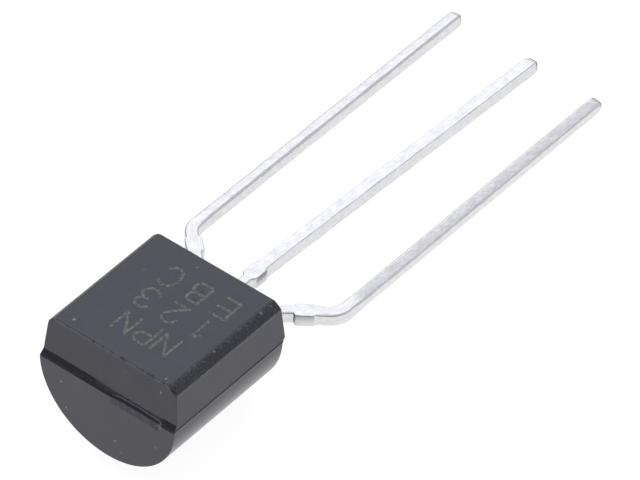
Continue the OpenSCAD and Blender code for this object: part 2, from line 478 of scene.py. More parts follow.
@dataclass(frozen=True)
class TinPlate(Finish):
    """Matte tin plated on a drawn lead: a bright, soft-edged white metal with faint streaks."""

    shade_colour: str = "#d2d2d5"
    streak_mm: float = 0.05
    cloud_mm: float = 0.3
    dimple_mm: float = 0.25
    dimple_depth: float = 2.2e-5

    def dress(self, tree: Tree, case_mm: Socket) -> Socket:
        """Adds streaks along the lead, plating clouds and small handling dimples.

        Args:
            tree: The material's tree.
            case_mm: Place on the part in case axes, in millimetres.

        Returns:
            The shader socket.
        """
        lead_mm = add_node(tree, "ShaderNodeAttribute", attribute_name="lead_mm").outputs["Vector"]
        drawn = add_node(tree, "ShaderNodeMapping", {"Vector": lead_mm, "Scale": (1, 1, 0.3)}).outputs[0]
        streak = self.mottle(tree, drawn, self.streak_mm, 0.0, 1.0, 2)
        colour = add_node(
            tree, "ShaderNodeMix", {0: streak, 6: linear(self.colour), 7: linear(self.shade_colour)},
            data_type="RGBA",
        ).outputs[2]
        rough = self.mottle(tree, case_mm, self.cloud_mm, self.roughness - 0.05, self.roughness + 0.07)
        dimples = add_node(
            tree, "ShaderNodeTexNoise", {"Vector": case_mm, "Scale": 1 / self.dimple_mm, "Detail": 4}
        ).outputs[0]
        bump = add_node(
            tree, "ShaderNodeBump", {"Height": dimples, "Strength": 0.5, "Distance": self.dimple_depth}
        ).outputs[0]
        return add_node(
            tree, "ShaderNodeBsdfPrincipled",
            {"Base Color": colour, "Metallic": 1.0, "Roughness": rough, "Normal": bump},
        ).outputs[0]


@dataclass(frozen=True)
class ShearedMetal(Finish):
    """Lead metal bared by a shear after plating: torn and grey above, burnished bright below."""

    burnished: str = "#dcdcde"
    score: str = "#a9a9ab"
    score_mm: float = 0.035
    torn_above: float = 0.18
    burnished_below: float = -0.08

    def dress(self, tree: Tree, case_mm: Socket) -> Socket:
        """Adds the scores that the shear draws through the thickness, and its two zones.

        Args:
            tree: The material's tree.
            case_mm: Place on the part in case axes, in millimetres.

        Returns:
            The shader socket.
        """
        lead_mm = add_node(tree, "ShaderNodeAttribute", attribute_name="lead_mm").outputs["Vector"]
        drawn = add_node(tree, "ShaderNodeMapping", {"Vector": lead_mm, "Scale": (1, 0.2, 1)}).outputs[0]
        scored = self.mottle(tree, drawn, self.score_mm, 0.0, 0.8, 3)
        torn = add_node(
            tree, "ShaderNodeMix", {0: scored, 6: linear(self.colour), 7: linear(self.score)},
            data_type="RGBA",
        ).outputs[2]
        height = add_node(tree, "ShaderNodeSeparateXYZ", {0: lead_mm}).outputs[1]
        depth = add_node(tree, "ShaderNodeAttribute", attribute_name="torn_mm").outputs["Fac"]
        height = add_node(tree, "ShaderNodeMath", {0: height, 1: depth}, operation="ADD").outputs[0]
        zone = add_node(
            tree, "ShaderNodeMapRange",
            {"Value": height, "From Min": self.torn_above, "From Max": self.burnished_below},
        ).outputs[0]
        zone = add_node(tree, "ShaderNodeMath", {0: zone, 1: 0.6}, operation="POWER").outputs[0]
        colour = add_node(
            tree, "ShaderNodeMix", {0: zone, 6: torn, 7: linear(self.burnished)}, data_type="RGBA"
        ).outputs[2]
        return add_node(
            tree, "ShaderNodeBsdfPrincipled",
            {"Base Color": colour, "Metallic": 1.0, "Roughness": self.roughness},
        ).outputs[0]


@dataclass(frozen=True)
class GrainedSolid(Finish):
    """A small inner piece with a two-tone grain: cured adhesive, sawn silicon or drawn gold."""

    other: str = "#808080"
    grain_mm: float = 0.03
    metallic: float = 0.0

    def dress(self, tree: Tree, case_mm: Socket) -> Socket:
        """Adds the grain to colour and roughness.

        Args:
            tree: The material's tree.
            case_mm: Place on the part in case axes, in millimetres.

        Returns:
            The shader socket.
        """
        grain = self.mottle(tree, case_mm, self.grain_mm, 0.0, 1.0)
        colour = add_node(
            tree, "ShaderNodeMix", {0: grain, 6: linear(self.colour), 7: linear(self.other)},
            data_type="RGBA",
        ).outputs[2]
        least, most = self.roughness - 0.05, self.roughness + 0.05
        rough = self.mottle(tree, case_mm, 3 * self.grain_mm, least, most)
        return add_node(
            tree, "ShaderNodeBsdfPrincipled",
            {"Base Color": colour, "Metallic": self.metallic, "Roughness": rough},
        ).outputs[0]


# Satin near-black resin with pale specks, greyer where it is rubbed.
EPOXY = MouldedEpoxy("moulded_epoxy", "#161820", 0.25)
# Dull light grey lines, patchy shot by shot.
MARK = LaserMark("laser_burnt_epoxy", "#969593", 0.75)
# Bright white metal with broad, soft highlights.
TIN = TinPlate("matte_tin_plate", "#e4e4e7", 0.3)
# Bare grey metal: dull and scored where it tore, bright where the tool burnished it.
CUT = ShearedMetal("sheared_lead_metal", "#77777a", 0.42)
# Warm yellow wire with fine drawing marks.
GOLD = GrainedSolid("drawn_gold_wire", "#f0c35a", 0.22, other="#e3b049", metallic=1.0)
# Grey paste full of silver flakes, and blue-grey silicon with fine saw marks.
INNER = {
    "die_attach": GrainedSolid(
        "silver_filled_adhesive", "#b9babc", 0.45, other="#8f9092", metallic=0.7
    ),
    "die": GrainedSolid(
        "sawn_silicon", "#5c6068", 0.25, other="#6d7484", grain_mm=0.06, metallic=0.3
    ),
    "base_wire": GOLD,
    "emitter_wire": GOLD,
}


# ---------------------------------------------------------------- leads


PLATED_EDGE = 0.055  # rounding that tin plate gives a stamped edge, in millimetres


class Lead(Enum):
    """The three leads, each with the side of the case that it leaves toward."""

    EMITTER = 1
    BASE = 0
    COLLECTOR = -1


@dataclass(frozen=True)
class LeadForm:
    """Sizes of one formed lead, in millimetres and degrees."""

    role: Lead
    pitch: float = 0.0  # from the case's middle to the long run
    kink: float = 0.0  # of the outward leg
    lean: float = 0.0  # of the long run, sideways
    twist: float = 0.0  # of the long run about itself
    seed: int = 0  # picks the long run's unevenness
    thickness: float = 0.38
    width: float = 0.38
    neck: float = 0.31  # width beside the case
    tie_width: float = 0.47  # of the stub that the cut tie bar leaves
    tie_length: float = 0.55
    tie_at: float = 1.33  # from the case's end to the stub
    shoulder: float = 0.05  # on which the neck widens to the stub
    ramp: float = 0.055  # on which the stub narrows to the full width
    barrel: float = 0.012  # by which the stub's cut sides bulge
    cut_edge: float = 0.02  # rounding of the stub's edges
    ramp_edge: float = 0.04  # rounding behind the stub
    worn_edge: float = 0.066  # rounding of the long run's edges
    torn: float = 0.0  # by which the torn zone of a cut is higher
    tip_cut: float = 0.16  # length of the sheared tip's slope
    tip_edge: float = 0.061  # rounding of the tip's edges
    pitch_in: float = 1.27  # between leads inside the case
    bend_in: float = 0.9  # radius of the bend beside the case
    bend_out: float = 0.6  # radius of the bend into the long run
    clear: float = 0.1  # from the first bend to the stub
    ease: float = 0.7  # on which the long run takes up its twist
    reach: float = 13.15  # of the tips past the case
    tip_slant: float = 3.5  # of the line through the three tips
    ripple: float = 0.009  # depth of the faces' unevenness
    ripple_width: float = 0.4
    inner: float = 0.5  # width of the strip inside the case
    lug: float = 0.1  # by which a post stands out of its strip
    post: float = 0.6  # length of a post
    pad_width: float = 1.7
    pad_height: float = 1.35
    pad_end: float = 0.2  # Y of the pad's end toward the leads
    gap: float = 0.3  # from the pad to the base's post
    neck_start: float = 0.55  # of the neck inside the case
    case_end: float = 2.25  # end of its flat half
    low_end: float = 2.125  # end of the case's round half, which the leads leave


@dataclass
class Station:
    """One section of a lead: its middle, heading and half sizes."""

    x: float
    y: float
    heading: float
    left: float
    right: float
    twist: float = 0.0
    thin: float = 0.0
    drop: float = 0.0
    rounding: float = PLATED_EDGE
    sheared: float = 0.0


class SweepTree:
    """Geometry Nodes tree that sweeps a lead's rounded section through its stations.

    Each table below lists sums: the name of the outcome, the operation, and the sockets, by
    name, or numbers that it works on.
    """

    INPUTS = {
        "Corner steps": "NodeSocketInt",
        "Refinement": "NodeSocketInt",
        "Ripple depth": "NodeSocketFloat",
        "Ripple size": "NodeSocketFloat",
        "Seed": "NodeSocketFloat",
        "Torn depth": "NodeSocketFloat",
        "Plating": "NodeSocketMaterial",
        "Cut metal": "NodeSocketMaterial",
    }
    VECTORS = ("centre", "lateral", "up")
    NUMBERS = ("left", "right", "half_thick", "rounding", "sheared", "along", "bare")
    SECTION = ("arc_u", "arc_v", "side_u", "side_v")
    QUARTER = math.pi / 2
    EVEN_NECK = 0.1  # of the neck past the case, which has no ripple
    # Each point of the ring belongs to one corner of the section and to a place on its arc.
    RING_SUMS = (
        ("run", "ADD", "Corner steps", 1),
        ("points", "MULTIPLY", "run", 4),
        ("middle", "ADD", "index", 0.5),
        ("runs", "DIVIDE", "middle", "run"),
        ("corner", "FLOOR", "runs"),
        ("first", "MULTIPLY", "corner", "run"),
        ("step", "SUBTRACT", "index", "first"),
        ("share", "DIVIDE", "step", "Corner steps"),
        ("place", "ADD", "corner", "share"),
        ("angle", "MULTIPLY", "place", QUARTER),
        ("arc_u", "COSINE", "angle"),
        ("arc_v", "SINE", "angle"),
        ("halfway", "ADD", "corner", 0.5),
        ("diagonal", "MULTIPLY", "halfway", QUARTER),
        ("across", "COSINE", "diagonal"),
        ("upward", "SINE", "diagonal"),
        ("side_u", "SIGN", "across"),
        ("side_v", "SIGN", "upward"),
    )
    # A point lies on its corner's arc, whose middle is in from both faces by the rounding.
    PLACE_SUMS = (
        ("core_u", "SUBTRACT", "half_width", "rounding"),
        ("flat_u", "MULTIPLY", "side_u", "core_u"),
        ("round_u", "MULTIPLY", "rounding", "arc_u"),
        ("u", "ADD", "flat_u", "round_u"),
        ("core_v", "SUBTRACT", "half_thick", "rounding"),
        ("flat_v", "MULTIPLY", "side_v", "core_v"),
        ("round_v", "MULTIPLY", "rounding", "arc_v"),
        ("v", "ADD", "flat_v", "round_v"),
        ("ripples", "DIVIDE", 1.0, "Ripple size"),
    )
    # A sheared value of 1 bares the sides of a section, and from 3.6 all of it.
    SKIN_SUMS = (
        ("rippled", "MULTIPLY", "Ripple depth", "uneven"),
        ("depth", "MULTIPLY", "rippled", "bare"),
        ("inward", "MULTIPLY", "depth", -1.0),
        ("flatness", "ABSOLUTE", "arc_u"),
        ("sideways", "ADD", "flatness", 0.25),
        ("bared", "MULTIPLY", "sheared", "sideways"),
        ("cut", "GREATER_THAN", "bared", 0.9),
    )

    def __init__(self) -> None:
        """Builds the tree."""
        self.tree = bpy.data.node_groups.new("formed_lead", "GeometryNodeTree")
        face = self.tree.interface
        face.new_socket("Geometry", in_out="INPUT", socket_type="NodeSocketGeometry")
        self.inputs = {
            name: face.new_socket(name, in_out="INPUT", socket_type=kind)
            for name, kind in self.INPUTS.items()
        }
        face.new_socket("Geometry", in_out="OUTPUT", socket_type="NodeSocketGeometry")
        self.known: dict[str, Socket] = {}
        self._fill()

    def _reckon(self, sums: Iterable[tuple]) -> None:
        """Adds the sums of a table to the tree and to the known sockets.

        Args:
            sums: Name, operation and inputs of each sum.
        """
        for name, operation, *values in sums:
            inputs = {i: self.known[v] if isinstance(v, str) else v for i, v in enumerate(values)}
            self.known[name] = add_node(
                self.tree, "ShaderNodeMath", inputs, operation=operation
            ).outputs[0]

    def _ring(self) -> Socket:
        """Adds the section, a ring whose points know their corner and their place on its arc.

        Returns:
            The ring, a closed curve.
        """
        tree, known = self.tree, self.known
        known["index"] = add_node(tree, "GeometryNodeInputIndex").outputs[0]
        self._reckon(self.RING_SUMS)
        ring = add_node(
            tree, "GeometryNodeCurvePrimitiveCircle", {"Resolution": known["points"], "Radius": 1.0}
        ).outputs[0]
        for name in self.SECTION:
            ring = add_node(
                tree, "GeometryNodeStoreNamedAttribute",
                {"Geometry": ring, "Name": name, "Value": known[name]},
                data_type="FLOAT", domain="POINT",
            ).outputs[0]
        return ring

    def _fill(self) -> None:
        """Adds the nodes from the stations to the plated lead."""
        tree, known = self.tree, self.known
        source = add_node(tree, "NodeGroupInput").outputs
        known.update((name, source[name]) for name in self.INPUTS)
        path = add_node(tree, "GeometryNodeMeshToCurve", {0: source["Geometry"]}).outputs[0]
        shape = add_node(
            tree, "GeometryNodeCurveToMesh",
            {"Curve": path, "Profile Curve": self._ring(), "Fill Caps": True},
        ).outputs[0]
        for names, kind in ((self.VECTORS, "FLOAT_VECTOR"), ((*self.NUMBERS, *self.SECTION), "FLOAT")):
            for name in names:
                known[name] = add_node(
                    tree, "GeometryNodeInputNamedAttribute", {"Name": name}, data_type=kind
                ).outputs[0]
        self._reckon([("rightward", "GREATER_THAN", "side_u", 0)])
        known["half_width"] = add_node(
            tree, "ShaderNodeMix", {0: known["rightward"], 2: known["left"], 3: known["right"]}
        ).outputs[0]
        self._reckon(self.PLACE_SUMS)
        place = known["centre"]
        for offset, axis in (("u", "lateral"), ("v", "up")):
            step = add_node(
                tree, "ShaderNodeVectorMath", {0: known[axis], "Scale": known[offset]}, operation="SCALE"
            ).outputs[0]
            place = add_node(
                tree, "ShaderNodeVectorMath", {0: place, 1: step}, operation="ADD"
            ).outputs[0]
        # The finishes read a place in the lead's own axes, and how high the torn zone of a cut is.
        local = add_node(
            tree, "ShaderNodeCombineXYZ", {0: known["u"], 1: known["v"], 2: known["along"]}
        ).outputs[0]
        for name, value, kind in (
            ("lead_mm", local, "FLOAT_VECTOR"), ("torn_mm", known["Torn depth"], "FLOAT")
        ):
            shape = add_node(
                tree, "GeometryNodeStoreNamedAttribute",
                {"Geometry": shape, "Name": name, "Value": value}, data_type=kind, domain="POINT",
            ).outputs[0]
        shape = add_node(
            tree, "GeometryNodeSetPosition", {"Geometry": shape, "Position": place}
        ).outputs[0]
        shape = add_node(
            tree, "GeometryNodeSubdivideMesh", {"Mesh": shape, "Level": known["Refinement"]}
        ).outputs[0]
        self._finish(shape)

    def _finish(self, shape: Socket) -> None:
        """Adds the uneven skin, the plating and the cut faces, and ends the tree.

        Args:
            shape: The swept lead.
        """
        tree, known = self.tree, self.known
        # Rolling and plating leave each face a little uneven, always inside its nominal size.
        spot = add_node(tree, "GeometryNodeInputPosition").outputs[0]
        known["uneven"] = add_node(
            tree, "ShaderNodeTexNoise",
            {"Vector": spot, "W": known["Seed"], "Scale": known["ripples"], "Detail": 2.0},
            noise_dimensions="4D",
        ).outputs[0]
        self._reckon(self.SKIN_SUMS)
        normal = add_node(tree, "GeometryNodeInputNormal").outputs[0]
        inward = add_node(
            tree, "ShaderNodeVectorMath", {0: normal, "Scale": known["inward"]}, operation="SCALE"
        ).outputs[0]
        shape = add_node(
            tree, "GeometryNodeSetPosition", {"Geometry": shape, "Offset": inward}
        ).outputs[0]
        shape = add_node(tree, "GeometryNodeRealizeInstances", {0: shape}).outputs[0]
        for inputs in (
            {"Material": known["Plating"]}, {"Material": known["Cut metal"], "Selection": known["cut"]}
        ):
            shape = add_node(
                tree, "GeometryNodeSetMaterial", {"Geometry": shape, **inputs}
            ).outputs[0]
        add_node(tree, "NodeGroupOutput", {0: shape})

    def sweep(self, name: str, stations: Sequence[Station], form: LeadForm, fine: bool) -> Object:
        """Sweeps one lead in case axes.

        Args:
            name: Name of the piece.
            stations: Its sections, from the inner end to the tip.
            form: The lead's sizes.
            fine: True for the lead itself, False for the pocket that it leaves in the case.

        Returns:
            The swept object, its tree already converted to a plain mesh.
        """
        half_thick = form.thickness / 2
        points = [(s.x, s.y, -half_thick - s.drop) for s in stations]
        edges = [(i, i + 1) for i in range(len(points) - 1)]
        thing = mesh_object(name, points, (), edges)
        steps = np.linalg.norm(np.diff(np.array(points), axis=0), axis=1)
        lateral, up = [], []
        for s in stations:
            h, t = math.radians(s.heading), math.radians(s.twist)
            side = np.array([math.cos(h), -math.sin(h), 0.0])
            lateral.append(side * math.cos(t) + np.array([0, 0, -math.sin(t)]))
            up.append(side * math.sin(t) + np.array([0, 0, math.cos(t)]))
        outside = form.low_end + self.EVEN_NECK
        numbers = (
            [s.left for s in stations],
            [s.right for s in stations],
            [half_thick - s.thin for s in stations],
            [s.rounding for s in stations],
            [s.sheared for s in stations],
            np.concatenate([[0], np.cumsum(steps)]),
            [1.0 if s.y > outside else 0.0 for s in stations],
        )
        for names, rows, kind, key in (
            (self.NUMBERS, numbers, "FLOAT", "value"),
            (self.VECTORS, (points, lateral, up), "FLOAT_VECTOR", "vector"),
        ):
            for attribute, values in zip(names, rows):
                data = thing.data.attributes.new(attribute, kind, "POINT").data
                data.foreach_set(key, np.array(values, float).ravel())
        modifier = thing.modifiers.new("formed_lead", "NODES")
        modifier.node_group = self.tree
        for key, value in {
            "Corner steps": 4 if fine else 3,
            "Refinement": 1 if fine else 0,
            "Ripple depth": form.ripple if fine else 0.0,
            "Ripple size": form.ripple_width,
            "Seed": float(form.seed),
            "Torn depth": form.torn,
            "Plating": TIN.material(),
            "Cut metal": CUT.material(),
        }.items():
            modifier[self.inputs[key].identifier] = value
        bake_modifiers(thing)
        for attribute in (*self.VECTORS, *self.NUMBERS, *self.SECTION):
            found = thing.data.attributes.get(attribute)
            if found:
                thing.data.attributes.remove(found)
        return thing


def smooth(share: Any) -> Any:
    """Eases a share of 0 to 1 in and out.

    Args:
        share: The share.

    Returns:
        The eased share.
    """
    return share * share * (3 - 2 * share)


class FormedLead:
    """A stamped, plated and formed lead with its inner post or chip pad."""

    STEP = 0.002  # length on which a width jumps
    # Share of the tip's slope, inset of its sides, loss of thickness; then how sheared it is.
    TIP = ((0.3, 0.007, 0.008), (0.65, 0.018, 0.032), (0.93, 0.036, 0.052), (1.0, 0.058, 0.08))
    TIP_SHEARED = (0.0, 3.7, 5.0, 5.0)
    # Where the sections stand on the stub's shoulder and on its cut sides.
    SHOULDER_SHARES = (0.15, 0.3, 0.45, 0.6, 0.75, 0.9)
    CUT_SHARES = (0.0, 0.06, 0.25, 0.5, 0.75, 0.94, 1.0)
    WORN = 0.006  # mean loss of the long run's sides
    WORN_EDGE = 0.02  # by which its edges' rounding varies
    WAVES_PER_MM = 1.9  # of the sides' unevenness
    NECK_INSIDE = 0.3  # of the neck's first even section, inside the case
    NECK_SHORT = 0.05  # between the base's neck and its stub
    POCKET = 0.6  # by which a pocket's cutter stands out of the case

    def __init__(self, form: LeadForm) -> None:
        """Keeps the lead's sizes.

        Args:
            form: The lead's sizes.
        """
        self.form = form

    def _inner_stations(self) -> list[Station]:
        """Lays out the post or pad and its strip, inside the case.

        Returns:
            Sections from the inner end to the start of the neck.
        """
        f, side = self.form, self.form.role.value
        pad_y = f.pad_end - f.pad_height / 2
        base_y = pad_y + f.pad_height / 2 + f.gap
        neck_y = f.low_end - f.neck_start
        x, half = f.pitch_in * side, f.inner / 2
        if f.role is Lead.COLLECTOR:
            left, right = half, f.pad_width - half
            start, end = pad_y - f.pad_height / 2, pad_y + f.pad_height / 2
        else:
            left = right = half + f.lug
            start = base_y if f.role is Lead.BASE else base_y - f.post
            end = start + f.post
        return [
            Station(x, start, 0, left, right),
            Station(x, end, 0, left, right),
            Station(x, end + self.STEP, 0, half, half),
            Station(x, neck_y, 0, half, half),
            Station(x, neck_y + self.STEP, 0, f.neck / 2, f.neck / 2),
        ]

    def _tie_stations(self, along: Callable[[float], tuple[float, float, float]]) -> list[Station]:
        """Returns the sections of the cut tie-bar stub.

        Args:
            along: Gives x, y and heading at a distance past the stub's start.

        Returns:
            Sections from the neck's end to the start of the full width.
        """
        f = self.form
        neck, tie = f.neck / 2, f.tie_width / 2
        made = [Station(*along(0.0), neck, neck)]
        for share in self.SHOULDER_SHARES:
            half = neck + (tie - f.barrel - neck) * smooth(share)
            rounding = PLATED_EDGE - (PLATED_EDGE - f.cut_edge) * share
            made.append(Station(*along(share * f.shoulder), half, half, rounding=rounding))
        for share in self.CUT_SHARES:
            at = f.shoulder + share * (f.tie_length - f.shoulder)
            half = tie - f.barrel * (2 * share - 1) ** 4
            made.append(Station(*along(at), half, half, rounding=f.cut_edge, sheared=1.0))
        for share in (0.4, 1.0):
            half = tie + (f.width / 2 - tie) * smooth(share)
            at = f.tie_length + share * f.ramp
            made.append(Station(*along(at), half, half, rounding=f.ramp_edge))
        return made

    def _run_stations(self, x: float, y: float) -> list[Station]:
        """Returns the sections of the long straight run and its sheared tip.

        Args:
            x: Middle of the run's start.
            y: The same along the case.

        Returns:
            Sections from the start of the twist to the tip.
        """
        f, lean = self.form, math.radians(self.form.lean)
        slant = math.tan(math.radians(f.tip_slant)) * (f.pitch * f.role.value)
        body = (f.case_end + f.reach - slant - y) / math.cos(lean) - f.tip_cut
        half, made = f.width / 2, []
        starts = np.concatenate([np.linspace(0.05, f.ease, 9), np.linspace(f.ease, body, 96)[1:]])
        for u in starts:
            share = min(u / f.ease, 1)
            left, right, edge = (
                noise.noise((self.WAVES_PER_MM * u, f.seed + k, 0.5)) for k in range(3)
            )
            worn = self.WORN * share
            made.append(Station(
                x + u * math.sin(lean), y + u * math.cos(lean), f.lean,
                half - worn * (1 + left), half - worn * (1 + right), f.twist * smooth(share),
                rounding=f.worn_edge + self.WORN_EDGE * edge * share,
            ))
        for (share, inset, thin), sheared in zip(self.TIP, self.TIP_SHEARED):
            u, width = body + share * f.tip_cut, half - inset
            made.append(Station(
                x + u * math.sin(lean), y + u * math.cos(lean), f.lean, width, width, f.twist,
                thin / 2, thin / 2, f.tip_edge, sheared,
            ))
        return made

    def stations(self) -> list[Station]:
        """Lays out the whole lead.

        Returns:
            All its sections, from its inner end to its tip.
        """
        f, side = self.form, self.form.role.value
        made, neck = self._inner_stations(), f.neck / 2
        in_y, tie_y = f.low_end - self.NECK_INSIDE, f.low_end + f.tie_at
        if f.role is Lead.BASE:
            for y in np.linspace(in_y, tie_y - self.NECK_SHORT, 9):
                made.append(Station(0, y, 0, neck, neck))
            made += self._tie_stations(lambda u: (0.0, tie_y + u, 0.0))
            return made + self._run_stations(0, tie_y + f.tie_length + f.ramp)
        # Two bends with a straight leg between them, on which the stub stands.
        kink = math.radians(f.kink)
        way_x, way_y = math.sin(kink), math.cos(kink)
        bend_y = tie_y - f.clear - f.bend_in * kink
        leg_x, leg_y = f.pitch_in + f.bend_in * (1 - way_y), bend_y + f.bend_in * way_x
        leg = (f.pitch - f.bend_out * (1 - way_y) - leg_x) / way_x
        run_y = leg_y + leg * way_y + f.bend_out * way_x
        for y in np.linspace(in_y, bend_y, 5)[:-1]:
            made.append(Station(side * f.pitch_in, y, 0, neck, neck))
        for h in kink * np.linspace(0, 1, 17):
            x, y = f.pitch_in + f.bend_in * (1 - math.cos(h)), bend_y + f.bend_in * math.sin(h)
            made.append(Station(side * x, y, side * math.degrees(h), neck, neck))

        def on_leg(u: float) -> tuple[float, float, float]:
            """Returns x, y and heading at a distance along the leg."""
            return side * (leg_x + u * way_x), leg_y + u * way_y, side * f.kink

        made += self._tie_stations(lambda u: on_leg(f.clear + u))
        half = f.width / 2
        for u in np.linspace(f.clear + f.tie_length + f.ramp, leg, 5)[1:-1]:
            made.append(Station(*on_leg(u), half, half))
        for share in np.linspace(0, 1, 17):
            h = kink * (1 - share)
            x, y = f.pitch - f.bend_out * (1 - math.cos(h)), run_y - f.bend_out * math.sin(h)
            heading = side * (math.degrees(h) + f.lean * side * share)
            made.append(Station(side * x, y, heading, half, half))
        return made + self._run_stations(side * f.pitch, run_y)

    def build(self, sweeper: SweepTree) -> Object:
        """Makes the lead's piece.

        Args:
            sweeper: The tree that sweeps it.

        Returns:
            The piece, in the frame.
        """
        node = f"{self.form.role.name.lower()}_lead"
        thing = sweeper.sweep(f"formed_{node}", self.stations(), self.form, fine=True)
        shade(thing.data)
        # Normals weighed by area keep each flat even up to its rounded edges. The faces are far
        # smaller than the usual threshold, which would leave them out.
        weigh = thing.modifiers.new("weighted_normals", "WEIGHTED_NORMAL")
        weigh.mode, weigh.keep_sharp, weigh.thresh = "FACE_AREA", True, 0.0
        bake_modifiers(thing)
        thing.data.transform(AXES.matrix())
        settle(thing, "tin", node)
        return thing

    def pocket(self, sweeper: SweepTree) -> Object:
        """Makes the cutter for the pocket that the lead leaves in the case.

        Args:
            sweeper: The tree that sweeps it.

        Returns:
            The cutter, in case axes.
        """
        f = self.form
        short = [s for s in self.stations() if s.y < f.low_end + self.POCKET]
        return sweeper.sweep(f"pocket_{f.role.name.lower()}", short, f, fine=False)


# ---------------------------------------------------------------- case


@dataclass(frozen=True)
class CaseForm:
    """Sizes of the moulded case, in millimetres and degrees."""

    width: float = 4.6
    height: float = 4.5
    rise: float = 1.32  # of the flat face above the parting line
    bevel: float = 0.19
    draft_flat: float = 5.0
    draft_round: float = 1.0
    shift: float = 0.125  # of the mould halves against each other
    side_step: float = 0.014  # by which the flat half's sides stand in
    step_height: float = 0.03
    edge: float = 0.007  # rounding of the top end's rim
    lead_edge: float = 0.02  # the same at the lead end
    corner: float = 0.036  # between the side and the bevel
    face_corner: float = 0.22  # between the bevel and the flat face
    mark_width: float = 0.084
    mark_depth: float = 0.01


class Glyphs:
    """Single-line characters for the laser, drawn in a box one unit wide and high.

    Each is a list of runs of points, with True for a run that is curved.
    """

    STROKES: dict[str, list[tuple[bool, list[tuple[float, float]]]]] = {
        "N": [(False, [(0, 0), (0, 1), (1, 0), (1, 1)])],
        "P": [(False, [(0, 0), (0, 1), (0.3, 1)]),
              (True, [(0.3, 1), (0.75, 0.98), (1, 0.75), (0.75, 0.51), (0.3, 0.48)]),
              (False, [(0.3, 0.48), (0, 0.48)])],
        "1": [(False, [(0.18, 0.78), (0.55, 1), (0.55, 0)])],
        "2": [(True, [(0.02, 0.74), (0.16, 0.95), (0.5, 1.02), (0.86, 0.92), (0.92, 0.68), (0.6, 0.38),
                      (0, 0)]),
              (False, [(0, 0), (1, 0)])],
        "3": [(True, [(0.04, 0.86), (0.3, 1), (0.72, 0.99), (0.92, 0.78), (0.78, 0.58), (0.4, 0.53)]),
              (True, [(0.4, 0.53), (0.82, 0.47), (1, 0.25), (0.78, 0.02), (0.35, -0.02), (0, 0.14)])],
        "E": [(False, [(1, 1), (0, 1), (0, 0), (1, 0)]), (False, [(0, 0.52), (0.8, 0.52)])],
        "B": [(False, [(0.4, 1), (0, 1), (0, 0), (0.45, 0)]), (False, [(0, 0.53), (0.45, 0.53)]),
              (True, [(0.4, 1), (0.8, 0.95), (0.88, 0.74), (0.75, 0.56), (0.45, 0.53)]),
              (True, [(0.45, 0.53), (0.88, 0.47), (1, 0.26), (0.84, 0.04), (0.45, 0)])],
        "C": [(True, [(1, 0.84), (0.72, 1), (0.34, 0.98), (0.04, 0.72), (0.02, 0.32), (0.28, 0.02),
                      (0.7, 0), (1, 0.18)])],
    }

    @staticmethod
    def curve(points: Sequence[tuple[float, float]], steps: int = 5) -> list[tuple[float, float]]:
        """Rounds a run of points into a smooth curve through them.

        Args:
            points: Points of the run.
            steps: New points for each span.

        Returns:
            The denser run.
        """
        p = [np.array(v, float) for v in (points[0], *points, points[-1])]
        made = []
        for a, b, c, d in zip(p, p[1:], p[2:], p[3:]):
            square, cube = 2 * a - 5 * b + 4 * c - d, 3 * b - a - 3 * c + d
            for t in np.arange(steps) / steps:
                made.append(0.5 * (2 * b + (c - a) * t + square * t**2 + cube * t**3))
        return [tuple(v) for v in (*made, p[-1])]

    @classmethod
    def strokes(
        cls, text: str, x: float, y: float, width: float, height: float, pitch: float
    ) -> list[np.ndarray]:
        """Lays out one row of characters on the flat face.

        Args:
            text: The characters.
            x: X of the row's start; rows run toward -X.
            y: Y of the row's foot; letters stand toward -Y.
            width: Width of a character.
            height: Height of a character.
            pitch: Distance between characters.

        Returns:
            Runs of [x, y] points.
        """
        made = []
        for place, letter in enumerate(text):
            for curved, points in cls.STROKES[letter]:
                run = cls.curve(points) if curved else points
                made.append(np.array([(x - place * pitch - width * u, y - height * v) for u, v in run]))
        return made


def ramp(values: Any, start: float, width: float) -> Any:
    """Rises from 0 to 1 on a width, or falls where the width is negative.

    Args:
        values: The values.
        start: Value at which the rise starts.
        width: Width of the rise.

    Returns:
        0 to 1 for each value.
    """
    return np.clip((values - start) / width, 0, 1)


